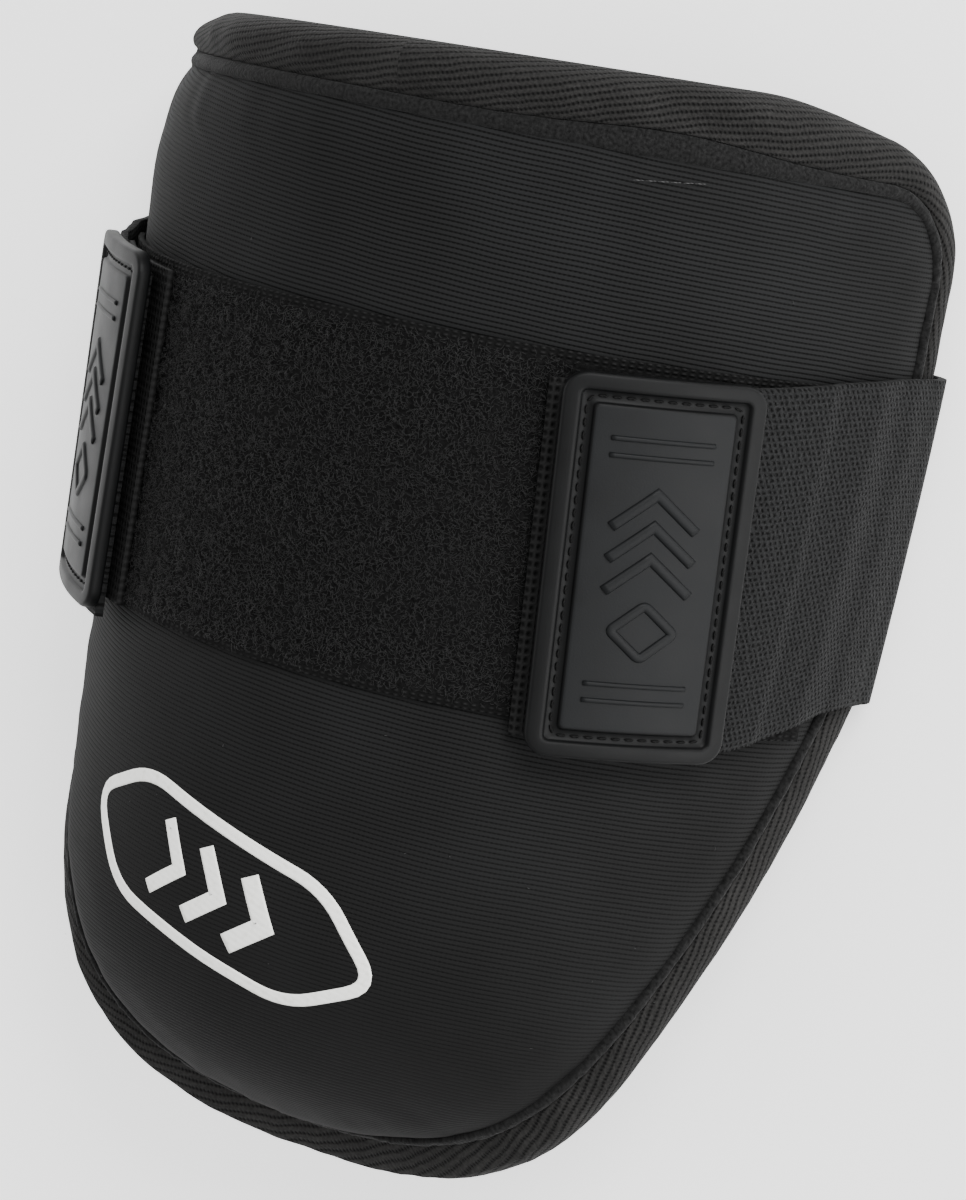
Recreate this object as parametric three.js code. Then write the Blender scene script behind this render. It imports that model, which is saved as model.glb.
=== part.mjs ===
// Baseball elbow guard: a padded shell with a bound edge, a loop panel and an elastic strap.
// It lies on its open back. X runs across, Y along the arm towards the wide end, Z up to the front.
// Every piece is placed on the shell's outer surface by three numbers in millimetres:
// around (from the front centre line), along (from the seam at the tip) and out (above the surface).
import * as THREE from "three";

const degree = Math.PI / 180;

// The shell's outer surface: a wide arc at the front that runs into flatter sides
const frontRadius = 77;
const frontAngle = 50 * degree;
const sideRadius = 120;

// The tip curls in towards the arm, and the sections open a little towards both ends
const cupRadius = 53.5;
const cupLength = 60.5;
const flareStart = 107;
const tipFlare = 0.115;
const topFlare = 0.03;

// The seam between the cover and the edge tape, laid flat
const seamLength = 202;
const halfGirth = 108.2;
const shoulder = 130;
const cornerRadius = 16;
const topArch = 1.4;
const taperStart = 1.2;
const taperEnd = 0.55;

// The padding and its bound edge
const padThickness = 9;
const pillowWidth = 10;
const pillowDrop = 2.4;
const tapeThickness = 1.1;
const tapeWidth = { top: 11, side: 6.9, low: 9, tip: 11 };
const topLean = 2.4;
const tipLift = 4.8;
const tapeFlap = 6;
const rollRise = 0.9;
const weltWidth = { top: 3, side: 2.1 };
const weltHeight = 1.3;
const clearance = 0.25;

// The loop panel across the front and the elastic strap round the whole guard
const webbing = 63.5;
const loopThickness = 1.4;
const loopReach = 93;
const loopAlong = 134.6;
const tabThickness = 1.2;
const tabBorder = 2.2;
const strapThickness = 1.6;
const strapAlong = 131.2;
const strapRise = 9.5;
const strapStep = 8;
const turnEase = 0.6;

// The moulded rubber patches sewn on the strap's two ends
const patchWidth = 33;
const patchHeight = 66.2;
const patchThickness = 2.6;
const patchCorner = 4;
const patchRim = 3.2;
const patchGroove = 1.6;
const patchGrooveDepth = 0.9;
const patches = [
  { name: "right", side: 1, around: 55.4, along: 131.9, turn: 2.9 * degree },
  { name: "left", side: -1, around: 64.6, along: 134.2, turn: -1.2 * degree },
];

// Steps of the faceted solids
const outlineSteps = 40;
const frontRings = 11;
const backRings = 7;
const patchSteps = { end: 2, corner: 3, side: 8 };
const frontSteps = 13;
const turnSteps = 8;
const seamTurnWeight = 40;

// Heights of the layers, counted out from the shell's surface
const loopOut = clearance;
const tabOut = loopOut + loopThickness + clearance;
const strapOut = tabOut + tabThickness + clearance;
const patchOut = strapOut + strapThickness + clearance;

// The bound edge in section: a half round of tape round the rim of the padding
const tapeTop = -pillowDrop + clearance + tapeThickness;
const tapeBack = -(padThickness + clearance + tapeThickness);
const rimRadius = (tapeTop - tapeBack) / 2;
const rimOut = (tapeTop + tapeBack) / 2;
const weltEdge = weltWidth.top / 2;
const turnAround = halfGirth + tapeWidth.side - rimRadius;

function mix(a, b, share) {
  return a + (b - a) * share;
}

function smoothStep(from, to, value) {
  const share = Math.min(Math.max((value - from) / (to - from), 0), 1);
  return share * share * (3 - 2 * share);
}

// The shell's surface

function sectionScale(along) {
  const toTip = Math.max(flareStart - along, 0) / flareStart;
  const toTop = Math.max(along - flareStart, 0) / (seamLength - flareStart);
  return 1 + tipFlare * toTip ** 2.5 + topFlare * toTop;
}

function bendAt(around, along) {
  const scale = sectionScale(along);
  const frontLength = frontRadius * scale * frontAngle;
  const reach = Math.abs(around);
  if (reach < frontLength) return reach / (frontRadius * scale);
  return frontAngle + (reach - frontLength) / (sideRadius * scale);
}

function surfacePoint(around, along) {
  const scale = sectionScale(along);
  const bend = bendAt(around, along);
  const inFront = Math.min(bend, frontAngle);
  const beyond = Math.max(bend, frontAngle);
  const front = frontRadius * scale;
  const side = sideRadius * scale;
  const x = front * Math.sin(inFront) + side * (Math.sin(beyond) - Math.sin(frontAngle));
  const fall = front * (1 - Math.cos(inFront)) + side * (Math.cos(frontAngle) - Math.cos(beyond));
  const curl = Math.max(cupLength - along, 0) / cupRadius;
  const y = along < cupLength ? cupLength - cupRadius * Math.sin(curl) : along;
  return new THREE.Vector3(Math.sign(around) * x, y, -fall - cupRadius * (1 - Math.cos(curl)));
}

function place(around, along, out) {
  const step = 0.05;
  const across = surfacePoint(around + step, along).sub(surfacePoint(around - step, along));
  const up = surfacePoint(around, along + step).sub(surfacePoint(around, along - step));
  const normal = across.cross(up).normalize();
  return surfacePoint(around, along).addScaledVector(normal, out);
}

// The seam's outline in the flat, as points with their outward normals

function seamAround(along) {
  const below = Math.min(Math.max((shoulder - along) / shoulder, 0), 1);
  return halfGirth * (1 - below ** taperStart) ** taperEnd;
}

function halfSeam() {
  const points = [];
  const flatEnd = halfGirth - cornerRadius;
  const cornerAlong = seamLength - topArch - cornerRadius;
  for (let i = 0; i <= 40; i += 1) {
    const around = (flatEnd * i) / 40;
    points.push(new THREE.Vector2(around, seamLength - topArch * (around / flatEnd) ** 2));
  }
  for (let i = 1; i <= 20; i += 1) {
    const angle = (i / 20) * (Math.PI / 2);
    const around = flatEnd + cornerRadius * Math.sin(angle);
    points.push(new THREE.Vector2(around, cornerAlong + cornerRadius * Math.cos(angle)));
  }
  for (let i = 0; i <= 160; i += 1) {
    const along = shoulder * (1 - i / 160) ** 2;
    points.push(new THREE.Vector2(seamAround(along), along));
  }
  return points;
}

// Steps are even in length plus a share of the turning, so corners get more of them
function resample(points, count, turnWeight) {
  const reach = [0];
  for (let i = 1; i < points.length; i += 1) {
    const step = points[i].clone().sub(points[i - 1]);
    const before = i > 1 ? points[i - 1].clone().sub(points[i - 2]) : step;
    const turn = Math.abs(Math.atan2(before.cross(step), before.dot(step)));
    reach.push(reach[i - 1] + step.length() + turnWeight * turn);
  }
  const even = [];
  for (let i = 0, from = 0; i <= count; i += 1) {
    const target = (reach[reach.length - 1] * i) / count;
    while (from < points.length - 2 && reach[from + 1] < target) from += 1;
    const share = (target - reach[from]) / (reach[from + 1] - reach[from]);
    even.push(points[from].clone().lerp(points[from + 1], share));
  }
  return even;
}

function seamOutline() {
  const right = resample(halfSeam(), outlineSteps, seamTurnWeight);
  right[0].x = 0;
  right[outlineSteps].set(0, 0);
  return withNormals(mirrored(right));
}

function mirrored(right) {
  const left = right.slice(1, -1).reverse().map((p) => new THREE.Vector2(-p.x, p.y));
  return right.concat(left);
}

// Outlines run clockwise seen from outside, so the outward normal is on the left of the way round
function withNormals(points) {
  const count = points.length;
  return points.map((point, i) => {
    const ahead = points[(i + 1) % count];
    const behind = points[(i + count - 1) % count];
    const way = ahead.clone().sub(behind).normalize();
    return { point, normal: new THREE.Vector2(-way.y, way.x) };
  });
}

// Closed solids

// Joins rows of points, each a closed loop, into a closed skin. Its ends are joined to each other,
// folded (the end rows already lie flat on a middle line) or capped from one side to the other
function skinOfLoops(loops, ends) {
  const key = (p) => `${p.x.toFixed(4)},${p.y.toFixed(4)},${p.z.toFixed(4)}`;
  const seen = new Map();
  const positions = [];
  const vertex = (p) => {
    const name = key(p);
    if (!seen.has(name)) {
      seen.set(name, positions.length / 3);
      positions.push(p.x, p.y, p.z);
    }
    return seen.get(name);
  };
  const index = [];
  const triangle = (a, b, c) => {
    if (a !== b && b !== c && c !== a) index.push(a, b, c);
  };
  const rows = loops.map((loop) => loop.map(vertex));
  const bands = ends === "joined" ? rows.length : rows.length - 1;
  for (let j = 0; j < bands; j += 1) {
    const here = rows[j];
    const next = rows[(j + 1) % rows.length];
    for (let i = 0; i < here.length; i += 1) {
      const k = (i + 1) % here.length;
      triangle(here[i], next[k], next[i]);
      triangle(here[i], here[k], next[k]);
    }
  }
  const cap = (row) => {
    const last = row.length - 1;
    for (let i = 0; 2 * i + 1 < last; i += 1) {
      triangle(row[i], row[i + 1], row[last - i - 1]);
      triangle(row[i], row[last - i - 1], row[last - i]);
    }
  };
  if (ends === "capped") {
    cap(rows[0].slice().reverse());
    cap(rows[rows.length - 1]);
  }
  const geometry = new THREE.BufferGeometry();
  geometry.setAttribute("position", new THREE.Float32BufferAttribute(positions, 3));
  geometry.setIndex(index);
  geometry.computeVertexNormals();
  return geometry;
}

// A sheet between two surfaces, given by point(column, row, isOuter) on a grid
function sheetSolid(columns, rows, point) {
  const loops = [];
  for (let i = 0; i <= columns; i += 1) {
    const outer = [];
    const inner = [];
    for (let j = 0; j <= rows; j += 1) {
      outer.push(point(i / columns, j / rows, true));
      inner.push(point(i / columns, j / rows, false));
    }
    loops.push(outer.concat(inner.reverse()));
  }
  return skinOfLoops(loops, "capped");
}

// A plate with a closed outline: rings run from a middle line over the face, round the edge
// and back under. Each ring is a share of the way to its inset, at a height {inset, out}, and
// may have an outline of its own
function plateSolid(outline, middle, rings, put) {
  const loops = rings.map((ring) => (ring.outline ?? outline).map((spot) => {
    const { inset, out } = ring.at(spot);
    const edge = spot.point.clone().addScaledVector(spot.normal, -inset);
    const flat = middle(spot.point).lerp(edge, ring.share);
    return put(flat.x, flat.y, out);
  }));
  return skinOfLoops(loops, "folded");
}

// The pieces

function topness(normal) {
  return Math.max(normal.y, 0) ** 2;
}

// The tape is widest along the top and narrow at the corners and upper sides
function bandWidth(spot) {
  const { point, normal } = spot;
  if (normal.y > 0) {
    const middle = 1 - smoothStep(0.6, 1, Math.abs(point.x) / halfGirth);
    const top = mix(tapeWidth.side, tapeWidth.top, middle) + topLean * middle * (point.x / halfGirth);
    return mix(tapeWidth.side, top, topness(normal));
  }
  const low = mix(tapeWidth.side, tapeWidth.low, smoothStep(0.1, 0.35, -normal.y));
  return mix(low, tapeWidth.tip, smoothStep(0.5, 1, -normal.y));
}

// At the tip the edge flares forward like a lip: how far, at that inset from the seam
function lipLift(spot, inset) {
  const centre = bandWidth(spot) - rimRadius;
  const share = (-inset - weltEdge) / (centre - weltEdge);
  return tipLift * smoothStep(0.5, 1, -spot.normal.y) * Math.min(Math.max(share, 0), 1);
}

function shell(outline) {
  const spineLow = 0.22 * seamLength;
  const spineHigh = 0.82 * seamLength;
  const middle = (p) => new THREE.Vector2(0, Math.min(Math.max(p.y, spineLow), spineHigh));
  const fixed = (inset, out) => () => ({ inset, out });
  const rings = [];
  for (let i = 0; i <= frontRings; i += 1) {
    rings.push({ share: i / frontRings, at: fixed(pillowWidth, 0) });
  }
  const pillow = [
    { inset: 0.6, drop: 0.08 },
    { inset: 0.3, drop: 0.35 },
    { inset: 0.12, drop: 1 },
  ];
  for (const row of pillow) {
    rings.push({ share: 1, at: fixed(row.inset * pillowWidth, -row.drop * pillowDrop) });
  }
  const foamRadius = rimRadius - tapeThickness - clearance;
  rings.push({ share: 1, at: fixed(-weltEdge, -pillowDrop) });
  for (let i = 0; i <= 4; i += 1) {
    const angle = Math.PI / 2 - (i / 4) * Math.PI;
    rings.push({
      share: 1,
      at: (spot) => {
        const inset = -(bandWidth(spot) - rimRadius + foamRadius * Math.cos(angle));
        return { inset, out: rimOut + foamRadius * Math.sin(angle) + lipLift(spot, inset) };
      },
    });
  }
  for (let i = backRings; i >= 0; i -= 1) {
    rings.push({ share: i / backRings, at: fixed(tapeFlap, -padThickness) });
  }
  return plateSolid(outline, middle, rings, place);
}

// The tape's section as {inset, out} points round its outer face and back along its inner face
function tapeSection(spot) {
  const centre = bandWidth(spot) - rimRadius;
  const rise = rollRise * topness(spot.normal);
  const start = weltEdge + clearance;
  const points = [
    { inset: -start, out: tapeTop - 0.5 * tapeThickness },
    { inset: -mix(start, centre, 0.45), out: tapeTop + rise },
  ];
  for (let i = 0; i <= 4; i += 1) {
    const angle = Math.PI / 2 - (i / 4) * Math.PI;
    const lift = i < 2 ? rise * (1 - 0.4 * i) : 0;
    points.push({
      inset: -(centre + rimRadius * Math.cos(angle)),
      out: rimOut + rimRadius * Math.sin(angle) + lift,
    });
  }
  points.push({ inset: tapeFlap, out: tapeBack }, { inset: tapeFlap, out: tapeBack + tapeThickness });
  for (let i = 4; i >= 0; i -= 1) {
    const angle = Math.PI / 2 - (i / 4) * Math.PI;
    const radius = rimRadius - tapeThickness;
    points.push({
      inset: -(centre + radius * Math.cos(angle)),
      out: rimOut + radius * Math.sin(angle),
    });
  }
  points.push({ inset: -start, out: tapeTop - tapeThickness });
  return points.map(({ inset, out }) => ({ inset, out: out + lipLift(spot, inset) }));
}

function weltSection(spot) {
  const half = mix(weltWidth.side, weltWidth.top, topness(spot.normal)) / 2;
  const base = clearance - pillowDrop;
  return [
    { inset: half, out: base },
    { inset: 0.7 * half, out: base + 0.75 * weltHeight },
    { inset: 0, out: base + weltHeight },
    { inset: -0.7 * half, out: base + 0.75 * weltHeight },
    { inset: -half, out: base },
  ];
}

function ringSolid(outline, section) {
  const loops = outline.map((spot) => section(spot).map(({ inset, out }) => {
    const flat = spot.point.clone().addScaledVector(spot.normal, -inset);
    return place(flat.x, flat.y, out);
  }));
  return skinOfLoops(loops.reverse(), "joined");
}

function loopPanel() {
  return sheetSolid(26, 4, (column, row, isOuter) => {
    const around = mix(loopReach, -loopReach, column);
    const along = loopAlong + (row - 0.5) * webbing;
    return place(around, along, loopOut + (isOuter ? loopThickness : 0));
  });
}

// A point of a patch's own flat frame, turned and put on the surface
function onPatch(patch, across, up, out) {
  const cos = Math.cos(patch.turn);
  const sin = Math.sin(patch.turn);
  const around = patch.side * patch.around + across * cos - up * sin;
  return place(around, patch.along + across * sin + up * cos, out);
}

function hookTab(patch) {
  const width = patchWidth + 2 * tabBorder;
  const height = patchHeight - 2 * tabBorder;
  return sheetSolid(6, 4, (column, row, isOuter) => {
    const out = tabOut + (isOuter ? tabThickness : 0);
    return onPatch(patch, (0.5 - column) * width, (row - 0.5) * height, out);
  });
}

// The rounded oblong that lies at that inset from the patch's edge
function patchOutline(inset) {
  const radius = Math.max(patchCorner - inset, 0.2 * patchCorner);
  const inX = patchWidth / 2 - inset - radius;
  const inY = patchHeight / 2 - inset - radius;
  const { end, corner, side } = patchSteps;
  const right = [];
  for (let i = 0; i < end; i += 1) {
    right.push(new THREE.Vector2((inX * i) / end, inY + radius));
  }
  for (let i = 0; i <= corner; i += 1) {
    const angle = (i / corner) * 90 * degree;
    right.push(new THREE.Vector2(inX + radius * Math.sin(angle), inY + radius * Math.cos(angle)));
  }
  for (let i = 1; i < side; i += 1) {
    right.push(new THREE.Vector2(inX + radius, mix(inY, -inY, i / side)));
  }
  const upper = right.slice(0, end + corner + 1);
  for (const point of upper.reverse()) {
    right.push(new THREE.Vector2(point.x, -point.y));
  }
  return withNormals(mirrored(right));
}

function rubberPatch(patch) {
  const spine = (patchHeight - patchWidth) / 2;
  const middle = (p) => new THREE.Vector2(0, Math.min(Math.max(p.y, -spine), spine));
  const top = patchOut + patchThickness;
  const bevel = 0.5;
  const rows = [
    { share: 0, inset: 0, out: top - 0.2 },
    { share: 0.5, inset: patchRim + 2 * patchGroove, out: top - 0.2 },
    { share: 1, inset: patchRim + 2 * patchGroove, out: top - 0.2 },
    { share: 1, inset: patchRim + patchGroove, out: top - patchGrooveDepth },
    { share: 1, inset: patchRim, out: top - patchGrooveDepth },
    { share: 1, inset: patchRim - bevel, out: top },
    { share: 1, inset: 2 * bevel, out: top - bevel },
    { share: 1, inset: 0, out: top - 3 * bevel },
    { share: 1, inset: 0, out: patchOut },
    { share: 0.67, inset: 0, out: patchOut },
    { share: 0.33, inset: 0, out: patchOut },
    { share: 0, inset: 0, out: patchOut },
  ];
  const rings = rows.map(({ share, inset, out }) => (
    { share, outline: patchOutline(inset), at: () => ({ inset: 0, out }) }
  ));
  return plateSolid(patchOutline(0), middle, rings, (across, up, out) => onPatch(patch, across, up, out));
}

// The strap: from under a patch, round the side of the guard, flat across the open back,
// and up the other side to the other patch

function strapCentre(around) {
  const from = 0.8 * patches[0].around;
  return strapAlong + strapRise * smoothStep(from, turnAround, around);
}

// The strap steps down past the end of the tab and of the loop panel, then on to the bound edge
function strapHeight(patch, around) {
  const stepDown = (end) => smoothStep(end + strapStep / 2, end + 1.5 * strapStep, around);
  const tabEnd = patch.around + patchWidth / 2 + tabBorder;
  const overLoop = mix(strapOut, tabOut, stepDown(tabEnd));
  const overShell = mix(overLoop, clearance, stepDown(loopReach));
  return mix(overShell, tapeTop + turnEase, smoothStep(halfGirth - strapStep / 2, turnAround, around));
}

function rimLowest() {
  let lowest = 0;
  for (let i = 0; i <= 20; i += 1) {
    const along = strapCentre(turnAround) + (i / 20 - 0.5) * webbing;
    const rimAround = seamAround(along) + tapeWidth.side - rimRadius;
    lowest = Math.min(lowest, place(rimAround, along, rimOut).z);
  }
  return lowest;
}

function strapSide(patch, rimHeight) {
  const stations = [];
  const start = patch.around - 0.4 * patchWidth;
  for (let i = 0; i < frontSteps; i += 1) {
    const around = mix(start, turnAround, i / frontSteps);
    const height = strapHeight(patch, around);
    stations.push((along, depth) => place(patch.side * around, strapCentre(around) + along, height + depth));
  }
  const sideAlong = strapCentre(turnAround);
  const corner = (along) => place(patch.side * turnAround, sideAlong + along, rimOut).x;
  const first = Math.PI / 2 - bendAt(turnAround, sideAlong);
  for (let i = 0; i <= turnSteps; i += 1) {
    const angle = mix(first, -Math.PI / 2, i / turnSteps);
    stations.push((along, depth) => {
      const radius = rimRadius + turnEase + depth;
      const x = corner(along) + patch.side * radius * Math.cos(angle);
      return new THREE.Vector3(x, sideAlong + along, rimHeight + radius * Math.sin(angle));
    });
  }
  return stations;
}

// Straight across its width, with one flat stretch over the back between the two turns
function strap() {
  const rimHeight = rimLowest();
  const [right, left] = patches.map((patch) => strapSide(patch, rimHeight));
  const stations = [...right, ...left.reverse()];
  const columns = stations.length - 1;
  return sheetSolid(columns, 1, (column, row, isOuter) => {
    const station = stations[Math.round(column * columns)];
    return station((0.5 - row) * webbing, isOuter ? strapThickness : 0);
  });
}

// Finishes and the finished group

const finish = {
  neoprene: { color: 0x26272a, roughness: 0.85 },
  tape: { color: 0x2c2c2e, roughness: 0.9 },
  welt: { color: 0x323234, roughness: 0.95 },
  pile: { color: 0x121214, roughness: 1 },
  elastic: { color: 0x232325, roughness: 0.9 },
  hook: { color: 0x1b1b1d, roughness: 0.8 },
  rubber: { color: 0x3a3b3d, roughness: 0.6 },
};

function piece(name, geometry, look) {
  const mesh = new THREE.Mesh(geometry, new THREE.MeshStandardMaterial({ ...look, metalness: 0 }));
  mesh.name = name;
  return mesh;
}

const guard = new THREE.Group();
const seam = seamOutline();
guard.add(piece("shell", shell(seam), finish.neoprene));
guard.add(piece("edge_binding", ringSolid(seam, tapeSection), finish.tape));
guard.add(piece("seam_welt", ringSolid(seam, weltSection), finish.welt));
guard.add(piece("loop_panel", loopPanel(), finish.pile));
guard.add(piece("strap", strap(), finish.elastic));
for (const patch of patches) {
  guard.add(piece(`hook_tab_${patch.name}`, hookTab(patch), finish.hook));
  guard.add(piece(`patch_${patch.name}`, rubberPatch(patch), finish.rubber));
}

// The strap's flat back lies on the ground, under the middle of the whole guard
const extent = new THREE.Box3().setFromObject(guard);
const middlePoint = extent.getCenter(new THREE.Vector3());
guard.position.set(-middlePoint.x, -middlePoint.y, -extent.min.z);

export default guard;
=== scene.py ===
# Baseball elbow guard: the dressed model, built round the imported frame
import math
from functools import partial

import bmesh
import bpy
import numpy as np
from mathutils import Matrix, Vector


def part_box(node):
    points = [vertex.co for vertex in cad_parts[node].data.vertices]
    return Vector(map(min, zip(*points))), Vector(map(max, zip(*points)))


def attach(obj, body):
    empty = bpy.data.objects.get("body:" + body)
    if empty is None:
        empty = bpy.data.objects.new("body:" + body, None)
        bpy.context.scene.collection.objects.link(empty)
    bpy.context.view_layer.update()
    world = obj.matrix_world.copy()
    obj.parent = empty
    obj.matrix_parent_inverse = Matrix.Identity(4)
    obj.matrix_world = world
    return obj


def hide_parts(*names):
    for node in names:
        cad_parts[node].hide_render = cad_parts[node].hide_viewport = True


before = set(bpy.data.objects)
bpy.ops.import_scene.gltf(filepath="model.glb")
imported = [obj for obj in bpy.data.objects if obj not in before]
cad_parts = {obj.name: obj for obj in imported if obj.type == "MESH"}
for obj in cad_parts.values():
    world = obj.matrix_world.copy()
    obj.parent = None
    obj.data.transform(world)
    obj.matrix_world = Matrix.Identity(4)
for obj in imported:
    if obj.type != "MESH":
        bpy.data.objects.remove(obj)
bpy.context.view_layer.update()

# Sizes in millimetres, the same as the part's own
FRONT_RADIUS = 77.0
FRONT_ANGLE = math.radians(50)
SIDE_RADIUS = 120.0
CUP_RADIUS = 53.5
CUP_LENGTH = 60.5
FLARE_START = 107.0
TIP_FLARE = 0.115
TOP_FLARE = 0.03
SEAM_LENGTH = 202.0
HALF_GIRTH = 108.2
SHOULDER = 130.0
CORNER_RADIUS = 16.0
TOP_ARCH = 1.4
TAPER_START = 1.2
TAPER_END = 0.55
PAD_THICKNESS = 9.0
PILLOW_WIDTH = 10.0
PILLOW_DROP = 2.4
TAPE_THICKNESS = 1.1
TAPE_TOP_WIDTH = 11.0
TAPE_SIDE_WIDTH = 6.9
TAPE_LOW_WIDTH = 9.0
TAPE_TIP_WIDTH = 11.0
TOP_LEAN = 2.4
TIP_LIFT = 4.8
TAPE_FLAP = 6.0
ROLL_RISE = 0.9
WELT_TOP_WIDTH = 3.0
WELT_SIDE_WIDTH = 2.1
WELT_HEIGHT = 1.3
CLEARANCE = 0.25
WEBBING = 63.5
LOOP_THICKNESS = 1.4
LOOP_REACH = 93.0
LOOP_ALONG = 134.6
TAB_THICKNESS = 1.2
TAB_BORDER = 2.2
STRAP_THICKNESS = 1.6
STRAP_ALONG = 131.2
STRAP_RISE = 9.5
STRAP_STEP = 8.0
TURN_EASE = 0.6
PATCH_WIDTH = 33.0
PATCH_HEIGHT = 66.2
PATCH_THICKNESS = 2.6
PATCH_CORNER = 4.0
PATCH_RIM = 3.2
PATCH_GROOVE = 1.6
PATCH_GROOVE_DEPTH = 0.9
PATCHES = {
    "right": {"side": 1, "around": 55.4, "along": 131.9, "turn": math.radians(2.9)},
    "left": {"side": -1, "around": 64.6, "along": 134.2, "turn": math.radians(-1.2)},
}

LOOP_LOW = LOOP_ALONG - WEBBING / 2
LOOP_HIGH = LOOP_ALONG + WEBBING / 2
LOOP_OUT = CLEARANCE
TAB_OUT = LOOP_OUT + LOOP_THICKNESS + CLEARANCE
STRAP_OUT = TAB_OUT + TAB_THICKNESS + CLEARANCE
PATCH_OUT = STRAP_OUT + STRAP_THICKNESS + CLEARANCE
TAPE_TOP = CLEARANCE + TAPE_THICKNESS - PILLOW_DROP
TAPE_BACK = -(PAD_THICKNESS + CLEARANCE + TAPE_THICKNESS)
RIM_RADIUS = (TAPE_TOP - TAPE_BACK) / 2
RIM_OUT = (TAPE_TOP + TAPE_BACK) / 2
TURN_AROUND = HALF_GIRTH + TAPE_SIDE_WIDTH - RIM_RADIUS

# Sizes that only the dressed model has
SELVAGE = 1.7
RIB_PITCH = 0.87
CORNER_CURL = 5.5
CURL_START = 180.0
CURL_LENGTH = 30.0
STRAP_DRAWN = 3.6
STRAP_LEAN = 6.0
STRAP_CREASE = (84.0, 87.0)
PRINT_AROUND = -12.4
PRINT_ALONG = 59.6
PRINT_TURN = math.radians(-14)
WIDE_WELT_AROUND = 50.0
WIDE_WELT_SPREAD = 20.0
WIDE_WELT_EXTRA = 1.9
# Place around, depth, width and length of each soft hollow along the tape's top
TAPE_PINCHES = [(66, 1.3, 12, 5.5), (96, 0.9, 9, 5), (-52, 0.8, 12, 5)]

# How finely the meshes are cut
OUTLINE_STEPS = 240
COVER_FACE_RINGS = 44
COVER_EDGE_RINGS = 16
COVER_ROLL_RINGS = 9
COVER_BACK_RINGS = 24
TAPE_FACE_STEPS = 8
TAPE_TURN_STEPS = 19
STRAP_FRONT_STEPS = 120
STRAP_TURN_STEPS = 24
STRAP_BACK_STEPS = 30
STRAP_ROWS = 41
WELT_STEPS = 9
PANEL_COLUMNS = 280
PANEL_ROWS = 120
TAB_COLUMNS = 60
TAB_ROWS = 100
PATCH_OUTLINE_STEPS = 90
PATCH_FIELD_RINGS = 10
PATCH_BACK_RINGS = 8
STROKE_STEP = 0.8
STROKE_ROWS = 9
FIBRE_BATCHES = 3
FIBRES_IN_BATCH = 8400
FIBRE_STEPS = 4
FIBRE_SIDES = 3
FIBRE_SEED = 61
LINT_SEED = 77


def stacked(*values):
    """Coordinates side by side, each spread to the shape they share."""
    return np.stack(np.broadcast_arrays(*values), -1)


def smooth_step(low, high, value):
    share = np.clip((value - low) / (high - low), 0, 1)
    return share * share * (3 - 2 * share)


# The shell's surface


def section_scale(along):
    to_tip = np.clip(FLARE_START - along, 0, None) / FLARE_START
    to_top = np.clip(along - FLARE_START, 0, None) / (SEAM_LENGTH - FLARE_START)
    return 1 + TIP_FLARE * to_tip**2.5 + TOP_FLARE * to_top


def bend_at(around, along):
    scale = section_scale(along)
    reach = np.abs(around)
    front_length = FRONT_RADIUS * scale * FRONT_ANGLE
    beyond = FRONT_ANGLE + (reach - front_length) / (SIDE_RADIUS * scale)
    return np.where(reach < front_length, reach / (FRONT_RADIUS * scale), beyond)


def surface_point(around, along):
    scale = section_scale(along)
    bend = bend_at(around, along)
    in_front = np.minimum(bend, FRONT_ANGLE)
    beyond = np.maximum(bend, FRONT_ANGLE)
    front, side = FRONT_RADIUS * scale, SIDE_RADIUS * scale
    x = front * np.sin(in_front) + side * (np.sin(beyond) - math.sin(FRONT_ANGLE))
    fall = front * (1 - np.cos(in_front)) + side * (math.cos(FRONT_ANGLE) - np.cos(beyond))
    curl = np.clip(CUP_LENGTH - along, 0, None) / CUP_RADIUS
    y = np.where(along < CUP_LENGTH, CUP_LENGTH - CUP_RADIUS * np.sin(curl), along)
    return np.stack([np.sign(around) * x, y, -fall - CUP_RADIUS * (1 - np.cos(curl))], -1)


def corner_dip(around, along):
    """The soft edge curls back a little at the left top corner."""
    share = np.clip((along - CURL_START) / CURL_LENGTH, 0, 1)
    return CORNER_CURL * share**1.5 * smooth_step(30, 88, -around)


def place(around, along, out):
    around, along, out = np.broadcast_arrays(around, along, out)
    step = 0.05
    across = surface_point(around + step, along) - surface_point(around - step, along)
    up = surface_point(around, along + step) - surface_point(around, along - step)
    normal = np.cross(across, up)
    normal /= np.linalg.norm(normal, axis=-1, keepdims=True)
    return surface_point(around, along) + normal * (out - corner_dip(around, along))[..., None]


# Where the surface's own axes lie in the frame: the loop panel's box gives the two shifts
PANEL_AROUND = np.linspace(-LOOP_REACH, LOOP_REACH, 33)
PANEL_TOP = place(PANEL_AROUND, LOOP_HIGH, LOOP_OUT + LOOP_THICKNESS)
SHIFT = np.array([0.0, *(np.array(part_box("loop_panel")[1])[1:] * 1000 - PANEL_TOP[:, 1:].max(0))])


def to_frame(points):
    """Surface millimetres to the frame's metres."""
    return (np.asarray(points) + SHIFT) / 1000


def seam_around(along):
    below = np.clip((SHOULDER - along) / SHOULDER, 0, 1)
    return HALF_GIRTH * (1 - below**TAPER_START) ** TAPER_END


def half_seam():
    flat_end = HALF_GIRTH - CORNER_RADIUS
    corner_along = SEAM_LENGTH - TOP_ARCH - CORNER_RADIUS
    top = np.linspace(0, flat_end, 80)
    turn = np.linspace(0, math.pi / 2, 60)[1:]
    low = SHOULDER * (1 - np.linspace(0, 1, 400)) ** 2
    return np.concatenate([
        np.stack([top, SEAM_LENGTH - TOP_ARCH * (top / flat_end) ** 2], -1),
        np.stack([flat_end + CORNER_RADIUS * np.sin(turn), corner_along + CORNER_RADIUS * np.cos(turn)], -1),
        np.stack([seam_around(low), low], -1),
    ])


def running(steps):
    """The steps added up, from 0."""
    return np.concatenate([[0], np.cumsum(steps)])


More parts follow.
